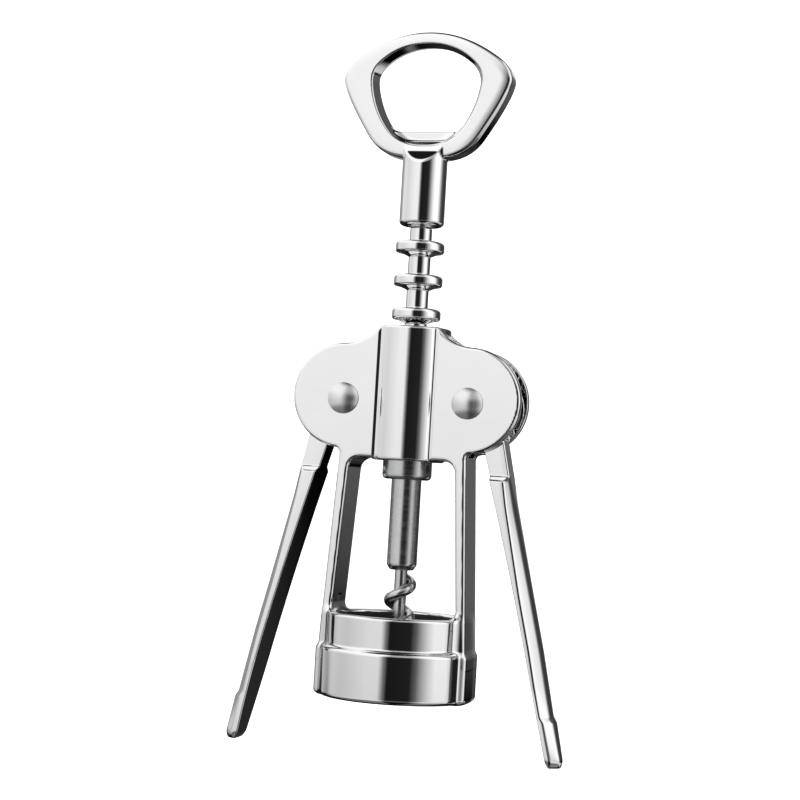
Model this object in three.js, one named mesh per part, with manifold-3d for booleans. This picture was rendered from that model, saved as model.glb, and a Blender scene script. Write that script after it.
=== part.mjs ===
// Wing corkscrew: a cast frame on a bell, two toothed levers, and a round rack that carries the worm.
// Millimetres. +Z runs up the worm's axis, X runs from lever to lever, and the front faces -Y.
// The origin is the centre of the bell's lower rim. The levers hang down and the rack is fully up.
import * as THREE from 'three';
import { mergeVertices } from 'three/addons/utils/BufferGeometryUtils.js';
import Module from 'manifold-3d';

const wasm = await Module();
wasm.setup();

// ---- driving dimensions ---------------------------------------------------

const runGap = 0.3; // air between pieces that touch or run on each other

// bell that sits over the neck of the bottle
const bellRadius = 20;
const bellHeight = 13.1;
const bellWall = 2.8;
const bellRound = 1.4;
const bellRimRound = 0.5;
const collarStep = 1.3; // how much narrower the ring on top of the bell is
const collarTop = 21.6;
const collarWall = 2.5;
const linerWall = 1.5;
const linerFoot = 0.8; // how far the liner stands back from the rim
const linerTop = 12.3;

// frame: its plates, legs and window
const plateFace = 6.7; // outer faces of the two plates, from the middle
const windowTop = 62.1;
const windowHalf = 14.3;
const windowCorner = 3.2;
const legTopOuter = 17.0;
const legFootBite = 1.9; // how deep the collar reaches into the legs
const crotchRadius = 1.5;
const shoulderRadius = 12.5;
const plateTopHalf = 7.7;
const lobeWall = 0.5; // plate beyond the gear's teeth
const lobeRise = 0.8; // lobe centre above the pivot

// heights up the frame
const pivotRise = 15.1; // from the window's top to the pivots
const plateRise = 19.5; // from the pivots to the top of the plates

// round rack in its barrel
const toothRadius = 6.45;
const shaftRadius = 2.93;
const toothPitch = 8.85;
const toothCount = 6;
const toothThickness = 2.7;
const toothRim = 0.7;
const toothCone = 1.3; // height of the cone under each tooth
const toothConeReach = 1.9;
const barrelGap = 0.45;
const barrelWall = 2.7;
const rackStart = 3.45; // lowest tooth below the pivots
const rackNeck = 5; // bare shaft over the top tooth
const rackTail = 2.1; // bare shaft under the window's top
const endBushDrop = 5.3; // foot of the end bush below the window's top
const endBushRise = 5.5;
const endBushRound = 1.2;

// toothed levers, measured from their pivots
const gearTeeth = 9; // on a full circle
const cutTeeth = 4;
const rackPitchRadius = 3.974; // where the levers' pitch circles touch the rack
const gearRootGap = 0.5;
const gearTipGap = 0.42;
const gearPlay = 1.325; // between a lever's tooth and the rack's, on each side
const gearTaper = 0.65; // how much narrower half a tooth is at its tip
const leverRootHalf = 3.55;
const leverSlotGap = 0.35;
const leverArmHalf = 6;
const leverLength = 91.4;
const leverShoulderDrop = 18.2;
const leverLineDrop = 19.5; // where the arm's upper widths are taken
const leverOuterReach = { top: 11.75, tip: 28.6 };
const leverInnerReach = { top: 6.65, middle: 17.25, tip: 24.95 };
const leverRootSlope = 0.29;

// pivot rivets
const pinRadius = 2.5;
const rivetHeadRadius = 4.1;
const rivetHeadHeight = 1.7;

// handle with its bottle opener ring, measured up from the foot of its stem
const stemRadius = 5.95;
const stemHeight = 21.3;
const stemRound = 0.8;
const scoop = { top: 19.9, foot: 16.5 }; // slanted cut from the ring's face to the stem's
const ringHalf = 3.5;
const ring = {
  top: 51.1,
  arch: 9.2,
  shoulder: { x: 18.0, z: 45.1 },
  corner: { x: 22.6, z: 42.0 },
  widest: { x: 22.4, z: 38.6 },
  hip: { x: 21.6, z: 34.6 },
  foot: { x: 15.2, z: 23.7, bend: 11.6, low: 17.7, flat: 4 },
};
const opening = {
  top: 47.5,
  arch: 6.2,
  shoulder: { x: 10.8, z: 43.8 },
  corner: { x: 14.2, z: 41.1 },
  widest: { x: 13.65, z: 37.3 },
  hip: { x: 13.0, z: 33.2 },
  foot: { x: 11.0, z: 28.7, bend: 7.2, low: 20.9, flat: 1.5 },
};
const lip = { half: 9.8, z: 25.0, footHalf: 5, foot: 18.9, thickness: 2.4 };
const spindleDepth = 12.3;
const washerRim = 1; // washer beyond the rack's shaft
const washerRecess = 1.3;

// spindle, ferrule and worm
const spindleRadius = 1.8;
const ferruleRadius = 3.8;
const ferruleFoot = 33.2;
const ferruleChamfer = 1.3;
const wormShankTop = 45;
const wormCore = 1.6;
const wormRadius = 4.15;
const wormPitch = 8.3;
const wormTip = 2.5;
const wormWire = 1.35;

// ---- what follows from them -----------------------------------------------

const collarRadius = bellRadius - collarStep;
const collarBore = collarRadius - collarWall;
const bellBore = bellRadius - bellWall;
const linerSeat = linerTop + runGap;

const pivotZ = windowTop + pivotRise;
const plateTop = pivotZ + plateRise;
const gearPitchRadius = (toothPitch * gearTeeth) / (2 * Math.PI);
const pivotX = gearPitchRadius + rackPitchRadius;
const gearRootRadius = pivotX - toothRadius - gearRootGap;
const gearTipRadius = pivotX - shaftRadius - gearTipGap;
const gearToothRoot = (toothPitch - toothThickness) / 2 - gearPlay; // half widths
const gearToothTip = gearToothRoot - gearTaper;
const lobeRadius = gearTipRadius + lobeWall;
const leverSlot = leverRootHalf + leverSlotGap;

const barrelBore = toothRadius + barrelGap;
const barrelRadius = barrelBore + barrelWall;
const lowestToothZ = pivotZ - rackStart;
const topToothZ = lowestToothZ + (toothCount - 1) * toothPitch;
const rackTop = topToothZ + rackNeck;
const rackFoot = windowTop - rackTail;
const endBushRadius = toothRadius + 0.05;
const endBushFoot = windowTop - endBushDrop;
const endBushTop = windowTop + endBushRise;
const ferruleTop = endBushFoot - runGap;
const stemFoot = rackTop + 2 * runGap + 0.1;
const spindleTop = stemFoot + spindleDepth;
const spindleBore = spindleRadius + runGap;

const leverShoulderZ = pivotZ - leverShoulderDrop;
const leverLineZ = pivotZ - leverLineDrop;
const leverTipZ = pivotZ - leverLength;
const leverOuterSlope = (leverOuterReach.tip - leverOuterReach.top) / (leverLineZ - leverTipZ);

const chrome = { color: 0xdfe1e4, metalness: 1, roughness: 0.06 };
const steel = { color: 0xb4b6ba, metalness: 1, roughness: 0.28 };
const nylon = { color: 0x1b1b1d, metalness: 0, roughness: 0.5 };

// ---- solids ---------------------------------------------------------------

// turns a closed geometry into a solid, dropping triangles that have collapsed on the axis
function solid(geometry) {
  const bare = geometry.clone();
  bare.deleteAttribute('normal');
  bare.deleteAttribute('uv');
  const merged = mergeVertices(bare, 1e-4);
  const points = merged.attributes.position.array;
  const corners = merged.index.array;
  const kept = [];
  let volume = 0;
  const a = new THREE.Vector3();
  const b = new THREE.Vector3();
  const c = new THREE.Vector3();
  for (let i = 0; i < corners.length; i += 3) {
    const [p, q, r] = [corners[i], corners[i + 1], corners[i + 2]];
    if (p === q || q === r || r === p) continue;
    kept.push(p, q, r);
    a.fromArray(points, 3 * p);
    b.fromArray(points, 3 * q);
    c.fromArray(points, 3 * r);
    volume += a.dot(b.cross(c));
  }
  if (volume < 0) kept.reverse();
  const mesh = new wasm.Mesh({
    numProp: 3,
    vertProperties: new Float32Array(points),
    triVerts: new Uint32Array(kept),
  });
  return new wasm.Manifold(mesh);
}

function geometryOf(body) {
  const mesh = body.getMesh();
  const geometry = new THREE.BufferGeometry();
  geometry.setAttribute('position', new THREE.BufferAttribute(mesh.vertProperties, 3));
  geometry.setIndex(new THREE.BufferAttribute(mesh.triVerts, 1));
  geometry.computeVertexNormals();
  return geometry;
}

// an outline in X and Z, thickened evenly about the middle plane
function slab(shape, half, curveSegments = 20) {
  const geometry = new THREE.ExtrudeGeometry(shape, { depth: 2 * half, bevelEnabled: false, curveSegments });
  geometry.rotateX(Math.PI / 2);
  geometry.translate(0, half, 0);
  return solid(geometry);
}

// a profile of [radius, height] points turned about Z
function turned(profile, segments = 36) {
  const points = profile.map(([radius, z]) => new THREE.Vector2(radius, z));
  const geometry = new THREE.LatheGeometry(points, segments);
  geometry.rotateX(Math.PI / 2);
  return solid(geometry);
}

function rod(radius, from, to, segments = 36) {
  return turned([[0, from], [radius, from], [radius, to], [0, to]], segments);
}

function tube(outer, inner, from, to, segments = 36) {
  return turned([[inner, from], [outer, from], [outer, to], [inner, to], [inner, from]], segments);
}

// a pin lying along Y at a pivot
function crossPin(radius, half, x, z, segments = 24) {
  const geometry = new THREE.CylinderGeometry(radius, radius, 2 * half, segments);
  geometry.translate(x, 0, z);
  return solid(geometry);
}

function block(from, to) {
  const size = to.map((value, i) => value - from[i]);
  const geometry = new THREE.BoxGeometry(...size);
  geometry.translate(...to.map((value, i) => (value + from[i]) / 2));
  return solid(geometry);
}

function mirrored(body) {
  return solid(geometryOf(body).applyMatrix4(new THREE.Matrix4().makeScale(-1, 1, 1)));
}

function bothSides(body) {
  return body.add(mirrored(body));
}

// the meeting point of two circles that lies on the right of the way from the first to the second
function circlesMeet(first, firstRadius, second, secondRadius) {
  const way = new THREE.Vector2().subVectors(second, first);
  const distance = way.length();
  way.normalize();
  const along = (firstRadius ** 2 - secondRadius ** 2 + distance ** 2) / (2 * distance);
  const aside = Math.sqrt(firstRadius ** 2 - along ** 2);
  return new THREE.Vector2(first.x + along * way.x - aside * way.y, first.y + along * way.y + aside * way.x);
}

// ---- frame ----------------------------------------------------------------

// right half of the plates: shoulder, lobe, leg and the skirt that runs down to the bell's rim
function plateOutline() {
  const lobe = new THREE.Vector2(pivotX, pivotZ + lobeRise);
  const topCorner = new THREE.Vector2(plateTopHalf, plateTop);
  const shoulder = circlesMeet(topCorner, shoulderRadius, lobe, lobeRadius + shoulderRadius);
  const crotch = new THREE.Vector2(legTopOuter + crotchRadius, 0);
  crotch.y = lobe.y - Math.sqrt((lobeRadius + crotchRadius) ** 2 - (crotch.x - pivotX) ** 2);
  const shoulderTurn = shoulder.clone().sub(lobe).angle();
  const crotchTurn = crotch.clone().sub(lobe).angle();
  const cornerTurn = topCorner.clone().sub(shoulder).angle();
  const skirt = bellRadius + runGap;

  const shape = new THREE.Shape();
  shape.moveTo(-1, windowTop);
  shape.lineTo(windowHalf - windowCorner, windowTop);
  shape.absarc(windowHalf - windowCorner, windowTop - windowCorner, windowCorner, Math.PI / 2, 0, true);
  shape.lineTo(collarRadius - legFootBite, collarTop - 3);
  shape.lineTo(collarRadius - legFootBite, 0);
  shape.lineTo(skirt, 0);
  shape.lineTo(legTopOuter, crotch.y);
  shape.absarc(crotch.x, crotch.y, crotchRadius, Math.PI, crotchTurn - Math.PI, true);
  shape.absarc(lobe.x, lobe.y, lobeRadius, crotchTurn, shoulderTurn, false);
  shape.absarc(shoulder.x, shoulder.y, shoulderRadius, shoulderTurn + Math.PI, cornerTurn, true);
  shape.lineTo(-1, plateTop);
  return shape;
}

function bellProfile() {
  const round = bellRound * (1 - Math.SQRT1_2);
  return [
    [bellBore, 0],
    [bellRadius - bellRimRound, 0],
    [bellRadius, bellRimRound],
    [bellRadius, bellHeight - bellRound],
    [bellRadius - round, bellHeight - round],
    [collarRadius, bellHeight],
    [collarRadius, collarTop - bellRimRound],
    [collarRadius - bellRimRound, collarTop],
    [collarBore, collarTop],
    [collarBore, linerSeat],
    [bellBore, linerSeat],
    [bellBore, 0],
  ];
}

function frameCasting() {
  const plates = bothSides(slab(plateOutline(), plateFace));
  const bell = turned(bellProfile(), 48);
  const barrel = rod(barrelRadius, windowTop - 0.5, plateTop);
  const neckRoom = rod(collarBore, -1, collarTop + 4, 48);
  const linerRoom = rod(bellBore, -1, linerSeat, 48);
  const barrelHole = rod(barrelBore, windowTop - 2, plateTop + 2);
  const gearRoom = crossPin(gearTipRadius + 0.45, leverSlot, pivotX, pivotZ, 48);
  const outerRoom = block([barrelRadius + 0.8, -leverSlot, windowTop + 1.5], [pivotX + 30, leverSlot, plateTop + 2]);
  const pinHole = crossPin(pinRadius + runGap, plateFace + 1, pivotX, pivotZ);
  return plates
    .add(barrel)
    .subtract(neckRoom)
    .subtract(linerRoom)
    .add(bell)
    .subtract(barrelHole)
    .subtract(bothSides(gearRoom.add(outerRoom)))
    .subtract(bothSides(pinHole));
}

function bellLiner() {
  const outer = bellBore - runGap;
  return tube(outer, outer - linerWall, linerFoot, linerTop, 48);
}

// a pin through both plates with a domed head on each end
function pivotRivet() {
  const seat = plateFace + runGap;
  const dome = (rivetHeadRadius ** 2 + rivetHeadHeight ** 2) / (2 * rivetHeadHeight);
  const steps = 5;
  const head = [];
  for (let i = 0; i <= steps; i += 1) {
    const radius = rivetHeadRadius * Math.cos((i / steps) * (Math.PI / 2));
    head.push([radius, seat + rivetHeadHeight - dome + Math.sqrt(dome ** 2 - radius ** 2)]);
  }
  head[steps][0] = 0;
  const half = [[pinRadius, seat], ...head];
  const profile = [...half.map(([radius, z]) => [radius, -z]).reverse(), ...half];
  const pin = geometryOf(turned(profile, 24));
  pin.rotateX(Math.PI / 2);
  pin.translate(pivotX, 0, pivotZ);
  return solid(pin);
}

// ---- levers ---------------------------------------------------------------

// inner edge of a lever's narrow root, which runs straight up from the arm
function rootInnerX(z) {
  return pivotX + leverInnerReach.top - (z - leverLineZ) * leverRootSlope;
}

function leverOuterX(z) {
  return pivotX + leverOuterReach.top + (leverLineZ - z) * leverOuterSlope;
}

function rootOutline(fromZ, toZ) {
  return new THREE.Shape([
    new THREE.Vector2(leverOuterX(fromZ), fromZ),
    new THREE.Vector2(rootInnerX(fromZ), fromZ),
    new THREE.Vector2(rootInnerX(toZ), toZ),
    new THREE.Vector2(leverOuterX(toZ), toZ),
  ]);
}

function armOutline() {
  const bendX = pivotX + leverInnerReach.middle;
  const bendZ = (leverLineZ + leverTipZ) / 2;
  const shape = new THREE.Shape();
  shape.moveTo(leverOuterX(leverShoulderZ), leverShoulderZ);
  shape.lineTo(rootInnerX(leverShoulderZ), leverShoulderZ);
  shape.lineTo(rootInnerX(leverLineZ), leverLineZ);
  shape.quadraticCurveTo(bendX, bendZ, pivotX + leverInnerReach.tip, leverTipZ);
  shape.lineTo(leverOuterX(leverTipZ), leverTipZ);
  return shape;
}

function gearTooth(turn) {
  const shape = new THREE.Shape();
  shape.moveTo(gearRootRadius - 1, -gearToothRoot);
  shape.lineTo(gearTipRadius, -gearToothTip);
  shape.lineTo(gearTipRadius, gearToothTip);
  shape.lineTo(gearRootRadius - 1, gearToothRoot);
  const geometry = new THREE.ExtrudeGeometry(shape, { depth: 2 * leverRootHalf, bevelEnabled: false });
  geometry.rotateX(Math.PI / 2);
  geometry.translate(0, leverRootHalf, 0);
  geometry.rotateY(Math.PI + turn);
  geometry.translate(pivotX, 0, pivotZ);
  return solid(geometry);
}

// the right lever: its teeth fill the gaps of the rack from the one at the pivot's height upwards
function lever() {
  const firstGapZ = lowestToothZ + toothPitch / 2;
  let body = crossPin(gearRootRadius, leverRootHalf, pivotX, pivotZ, 40);
  for (let i = 0; i < cutTeeth; i += 1) {
    const turn = (firstGapZ + i * toothPitch - pivotZ) / gearPitchRadius;
    body = body.add(gearTooth(turn));
  }
  const root = slab(rootOutline(pivotZ - 6, leverLineZ - 0.2), leverRootHalf);
  const arm = slab(armOutline(), leverArmHalf, 10);
  const hole = crossPin(pinRadius + runGap, leverRootHalf + 1, pivotX, pivotZ);
  return body.add(root).add(arm).subtract(hole);
}

// ---- rack -----------------------------------------------------------------

function rackSleeve() {
  const half = toothThickness / 2;
  const profile = [[spindleBore, rackFoot], [shaftRadius, rackFoot]];
  for (let i = toothCount - 1; i >= 0; i -= 1) {
    const z = topToothZ - i * toothPitch;
    profile.push([shaftRadius, z - half - toothCone]);
    profile.push([shaftRadius + toothConeReach, z - half]);
    profile.push([toothRadius - toothRim, z - half]);
    profile.push([toothRadius, z - half + toothRim]);
    profile.push([toothRadius, z + half - toothRim]);
    profile.push([toothRadius - toothRim, z + half]);
    profile.push([shaftRadius, z + half]);
  }
  profile.push([shaftRadius, rackTop], [spindleBore, rackTop], [spindleBore, rackFoot]);
  return turned(profile, 32);
}

function rackEndBush() {
  const socket = shaftRadius + runGap;
  const floor = rackFoot - runGap;
  return turned([
    [spindleBore, endBushFoot],
    [endBushRadius - endBushRound, endBushFoot],
    [endBushRadius, endBushFoot + endBushRound],
    [endBushRadius, endBushTop],
    [socket, endBushTop],
    [socket, floor],
    [spindleBore, floor],
    [spindleBore, endBushFoot],
  ], 32);
}

// ---- handle, spindle and worm ---------------------------------------------

// a rounded, wide-shouldered loop over the stem, drawn from the top down its right side and back up its left
function loopOutline({ top, arch, shoulder, corner, widest, hip, foot }) {
  const side = (sign) => ({
    arch: [sign * arch, stemFoot + top],
    shoulder: [sign * shoulder.x, stemFoot + shoulder.z],
    corner: [sign * corner.x, stemFoot + corner.z],
    widest: [sign * widest.x, stemFoot + widest.z],
    hip: [sign * hip.x, stemFoot + hip.z],
    foot: [sign * foot.x, stemFoot + foot.z],
    bend: [sign * foot.bend, stemFoot + foot.low],
    low: [sign * foot.flat, stemFoot + foot.low],
  });
  const right = side(1);
  const left = side(-1);
  const shape = new THREE.Shape();
  shape.moveTo(0, stemFoot + top);
  shape.quadraticCurveTo(...right.arch, ...right.shoulder);
  shape.quadraticCurveTo(...right.corner, ...right.widest);
  shape.quadraticCurveTo(...right.hip, ...right.foot);
  shape.quadraticCurveTo(...right.bend, ...right.low);
  shape.lineTo(...left.low);
  shape.quadraticCurveTo(...left.bend, ...left.foot);
  shape.quadraticCurveTo(...left.hip, ...left.widest);
  shape.quadraticCurveTo(...left.corner, ...left.shoulder);
  shape.quadraticCurveTo(...left.arch, 0, stemFoot + top);
  return shape;
}

function openerLip() {
  const outline = new THREE.Shape([
    new THREE.Vector2(-lip.half, stemFoot + lip.z),
    new THREE.Vector2(-lip.footHalf, stemFoot + lip.foot),
    new THREE.Vector2(lip.footHalf, stemFoot + lip.foot),
    new THREE.Vector2(lip.half, stemFoot + lip.z),
  ]);
  return slab(outline, lip.thickness / 2);
}

// what the slanted cut takes off the back of the stem's top
function scoopCut() {
  const outline = new THREE.Shape([
    new THREE.Vector2(ringHalf, stemFoot + scoop.top),
    new THREE.Vector2(stemRadius + 0.1, stemFoot + scoop.foot),
    new THREE.Vector2(stemRadius + 4, stemFoot + scoop.foot),
    new THREE.Vector2(stemRadius + 4, stemFoot + stemHeight + 1),
    new THREE.Vector2(ringHalf, stemFoot + stemHeight + 1),
  ]);
  const half = stemRadius + 1;
  const geometry = new THREE.ExtrudeGeometry(outline, { depth: 2 * half, bevelEnabled: false });
  geometry.translate(0, 0, -half);
  geometry.rotateX(Math.PI / 2);
  geometry.rotateZ(Math.PI / 2);
  return geometry;
}

function stem() {
  const post = turned([
    [0, stemFoot],
    [stemRadius - stemRound, stemFoot],
    [stemRadius, stemFoot + stemRound],
    [stemRadius, stemFoot + stemHeight],
    [0, stemFoot + stemHeight],
  ], 32);
  const back = scoopCut();
  const front = back.clone().rotateZ(Math.PI);
  return post.subtract(solid(back)).subtract(solid(front));
}

function handle() {
  const loop = slab(loopOutline(ring), ringHalf, 10);
  const hole = slab(loopOutline(opening), ringHalf + 1, 10);
  const bore = rod(spindleBore, stemFoot - 1, spindleTop + runGap, 24);
  const recess = rod(shaftRadius + washerRim + runGap, stemFoot - 1, stemFoot + washerRecess, 24);
  return loop.subtract(hole).add(openerLip()).add(stem()).subtract(bore).subtract(recess);
}

function thrustWasher() {
  return tube(shaftRadius + washerRim, spindleBore, rackTop + runGap, stemFoot + washerRecess - runGap, 24);
}

function spindle() {
  return rod(spindleRadius, wormShankTop + runGap, spindleTop, 24);
}

function wormFerrule() {
  return turned([
    [spindleBore, ferruleFoot],
    [ferruleRadius - ferruleChamfer, ferruleFoot],
    [ferruleRadius, ferruleFoot + ferruleChamfer],
    [ferruleRadius, ferruleTop],
    [spindleBore, ferruleTop],
    [spindleBore, ferruleFoot],
  ], 28);
}

// a right-handed coil that closes in on the axis at its tip
class WormCurve extends THREE.Curve {
  getPoint(t, target = new THREE.Vector3()) {
    const top = ferruleFoot - 2.6;
    const z = top - t * (top - wormTip);
    const turn = ((z - top) / wormPitch) * 2 * Math.PI + 1.1;
    const grow = Math.min(1, t / 0.08);
    const close = Math.min(1, (1 - t) / 0.2);
    const radius = 0.4 + (wormRadius - wormWire - 0.4) * Math.sqrt(Math.max(0, grow * close));
    return target.set(radius * Math.cos(turn), radius * Math.sin(turn), z);
  }
}

function worm() {
  const core = turned([
    [0, wormTip + 3],
    [0.5, wormTip + 4],
    [wormCore, wormTip + 11],
    [wormCore, wormShankTop],
    [0, wormShankTop],
  ], 16);
  const section = new THREE.Shape();
  section.absarc(0, 0, wormWire, 0, 2 * Math.PI, false);
  const coil = new THREE.ExtrudeGeometry(section, {
    steps: 72,
    curveSegments: 4,
    bevelEnabled: false,
    extrudePath: new WormCurve(),
  });
  return core.add(solid(coil));
}

// ---- assembly -------------------------------------------------------------

const corkscrew = new THREE.Group();

function place(name, body, look) {
  const mesh = new THREE.Mesh(geometryOf(body), new THREE.MeshStandardMaterial(look));
  mesh.name = name;
  corkscrew.add(mesh);
}

const rightLever = lever();
const rightRivet = pivotRivet();

place('frame_casting', frameCasting(), chrome);
place('bell_liner', bellLiner(), nylon);
place('right_pivot_rivet', rightRivet, chrome);
place('left_pivot_rivet', mirrored(rightRivet), chrome);
place('right_lever', rightLever, chrome);
place('left_lever', mirrored(rightLever), chrome);
place('rack_sleeve', rackSleeve(), chrome);
place('rack_end_bush', rackEndBush(), steel);
place('handle', handle(), chrome);
place('thrust_washer', thrustWasher(), steel);
place('spindle', spindle(), steel);
place('worm_ferrule', wormFerrule(), steel);
place('worm', worm(), steel);

export default corkscrew;
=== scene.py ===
import math

import bpy
import numpy as np
from mathutils import Matrix, Vector


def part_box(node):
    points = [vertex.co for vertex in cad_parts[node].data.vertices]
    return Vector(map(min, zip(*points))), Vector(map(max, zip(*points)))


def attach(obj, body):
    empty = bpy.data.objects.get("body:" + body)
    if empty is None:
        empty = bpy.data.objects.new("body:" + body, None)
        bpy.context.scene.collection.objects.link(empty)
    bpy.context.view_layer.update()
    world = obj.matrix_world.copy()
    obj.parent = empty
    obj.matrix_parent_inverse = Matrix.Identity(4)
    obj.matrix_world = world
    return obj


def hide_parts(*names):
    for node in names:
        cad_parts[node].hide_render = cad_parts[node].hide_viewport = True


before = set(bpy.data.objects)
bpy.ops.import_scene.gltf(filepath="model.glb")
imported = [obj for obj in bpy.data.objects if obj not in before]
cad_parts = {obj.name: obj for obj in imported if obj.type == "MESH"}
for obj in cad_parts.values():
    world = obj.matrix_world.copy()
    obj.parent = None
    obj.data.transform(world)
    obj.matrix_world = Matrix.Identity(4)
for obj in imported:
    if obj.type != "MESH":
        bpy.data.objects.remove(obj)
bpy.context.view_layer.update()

MM = 0.001

# ---- driving dimensions, in millimetres ------------------------------------

PLATE_FACE = 6.7            # outer faces of the plates, from the middle
SLOT = 3.9                  # half the slot that the levers turn in
PIVOT_X = 16.65
PIVOT_Z = 77.2
LOBE_Z = 78.0
LOBE_RADIUS = 13.8
SHOULDER_RADIUS = 12.5
PLATE_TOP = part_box("frame_casting")[1].z / MM
PLATE_TOP_HALF = 7.7
WINDOW_TOP = 62.1
WINDOW_HALF = 14.3
WINDOW_CORNER = 3.2
WINDOW_FLARE = 2.5
LEG_TOP_OUTER = 17.0
CROTCH_RADIUS = 1.5
PLATE_EDGE = 0.85
BARREL_RADIUS = 9.6
BARREL_BORE = 6.9
BARREL_FOOT = WINDOW_TOP - 0.5
GROOVE_X = 7.35             # fine grooves where the barrel swells out of the plates
GROOVE_RADIUS = 0.55

BELL_RADIUS = 20.0
BELL_HEIGHT = 13.1
BELL_BORE = 17.2
COLLAR_RADIUS = 18.7
COLLAR_BORE = 16.2
COLLAR_TOP = 21.6
LINER_SEAT = 12.6
CHEEK_X = BELL_RADIUS + 0.35
CHEEK_HALF = 7.2            # half the depth of the flat cheeks on the bell's two sides

GEAR_ROOT = 9.7
GEAR_TIP = 13.3
TOOTH_TIP_HALF = 1.1
TOOTH_ROOT_HALF = 1.75
GEAR_TEETH = 4
GEAR_TEETH_ROUND = 9        # teeth that a full circle of this pitch would have
PIN_HOLE = 2.8
LEVER_ROOT_HALF = 3.55
LEVER_ARM_HALF = 6.0
LEVER_SHOULDER_Z = 59.0
LEVER_LINE_Z = 57.7
LEVER_TIP_Z = -14.2
LEVER_OUTER = (27.6, 43.0)      # at the line above and at the tip
LEVER_INNER = (23.3, 33.9, 41.6)  # the same, with the bend's control between them
NECK_SLOPE = 0.29               # how the inside runs on above the line, toward the pivot
LEVER_SLANTS = ((1.4, 2.3), (2.4, 3.4))  # width and depth of the outside's slants, at the top and below
SLANTS_GROW = 30.0              # length over which they grow
NECK_SLANT = 0.3                # what is left of them above the shoulder
LEVER_CROWN = 0.3               # crown between the slants
CROWN_START = 9.0               # length over which the crown rises
LEVER_SWELL = (0.8, 1.3)        # how far the arm stands out at the top, and how much further below
SWELL_LENGTH = 46.0
LEVER_PAD = 0.6                 # the arm swells this much more on its outside near the tip
PAD_TOP = -1.0
TIP_ROUND = 2.4
TIP_TAPER = 22.0                # length over which the arm gets thinner toward its tip
TIP_THINNING = 2.3

RACK_TOOTH = 6.45
RACK_SHAFT = 2.93
RACK_PITCH = 8.85
RACK_TEETH = 6
RACK_TOP_TOOTH = 118.0
RACK_TOOTH_HALF = 1.45

STEM_RADIUS = 5.95
STEM_FOOT = 123.7
STEM_TOP = 146.0
STEM_SLANT = ((3.5, 143.6), (STEM_RADIUS, 140.2))  # where the stem thins toward the ring, as (depth, z)
RING_HALF = 3.5
RING_CROWN = (3.2, 0.22)    # the faces fall away this near the rim, by this much
LIP_Z = 148.7
LIP_HALF = 1.1

SPINDLE_BORE = 2.1          # bore of what turns on the spindle or slides over it

WORM_TOP = 33.0
WORM_TIP = 2.5
WORM_PITCH = 8.3
WORM_CORE = 1.65
BLADE_START = 0.35          # how far out the blade's middle is where it starts and ends
BLADE_REACH = 2.55          # how much further out it winds between
BLADE_HALF = (1.25, 1.5)    # half the blade's width and height


# ---- distance fields --------------------------------------------------------
# Each field gives the distance to a surface in millimetres, negative inside.

FAR = 99.0                  # a distance that keeps a cut away

def arc(centre, radius, start, stop, steps=24):
    turns = np.linspace(start, stop, steps)
    return [(centre[0] + radius * math.cos(t), centre[1] + radius * math.sin(t)) for t in turns]


def bezier(points, steps=16):
    ts = np.linspace(0, 1, steps)[:, None]
    ps = [np.array(p, float) for p in points]
    while len(ps) > 1:
        ps = [a + (b - a) * ts for a, b in zip(ps, ps[1:])]
    return [tuple(p) for p in ps[0]]


def outline_distance(points, x, z):
    """Signed distance to a closed outline in the X-Z plane."""
    shape = np.broadcast(x, z).shape
    x, z = (np.broadcast_to(c, shape).astype(np.float32) for c in (x, z))
    best = np.full(shape, 1e9, np.float32)
    inside = np.zeros(shape, bool)
    corners = np.array(points, np.float32)
    for (ax, az), (bx, bz) in zip(corners, np.roll(corners, -1, axis=0)):
        ex, ez = bx - ax, bz - az
        length = ex * ex + ez * ez
        if length < 1e-10:
            continue
        wx, wz = x - ax, z - az
        t = np.clip((wx * ex + wz * ez) / length, 0, 1)
        best = np.minimum(best, (wx - ex * t) ** 2 + (wz - ez * t) ** 2)
        crosses = (az > z) != (bz > z)
        if ez:
            inside ^= crosses & (wx < ex * wz / ez)
    distance = np.sqrt(best)
    return np.where(inside, -distance, distance)


def rounded_corner(a, b, edge):
    """Where two distances are both negative, with the corner between them rounded."""
    a, b = a + edge, b + edge
    outside = np.sqrt(np.maximum(a, 0) ** 2 + np.maximum(b, 0) ** 2)
    return np.minimum(np.maximum(a, b), 0) + outside - edge


def thick(flat, y, half, edge):
    """An outline's distance given a thickness of twice half, with its edges rounded."""
    return rounded_corner(flat, np.abs(y) - half, edge)


def rounded_box(u, v, centre, half, edge):
    """A rectangle with rounded corners, in any two coordinates."""
    return rounded_corner(np.abs(u - centre[0]) - half[0], np.abs(v - centre[1]) - half[1], edge)


def join(a, b, blend):
    """Union with a fillet where the two meet."""
    h = np.maximum(blend - np.abs(a - b), 0) / blend
    return np.minimum(a, b) - h * h * blend * 0.25


def cut(a, b, blend=0.3):
    """a without b, with the new edge rounded."""
    return -join(-a, b, blend)


def meet(a, b, blend=0.3):
    """What a and b share, with the new edge rounded."""
    return -join(-a, -b, blend)


# ---- meshes -----------------------------------------------------------------

def field_gradient(field, points, reach):
    slopes = []
    for axis in range(3):
        ahead, behind = points.copy(), points.copy()
        ahead[:, axis] += reach
        behind[:, axis] -= reach
        slopes.append((field(*ahead.T) - field(*behind.T)) / (2 * reach))
    return np.stack(slopes, axis=1)


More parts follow.
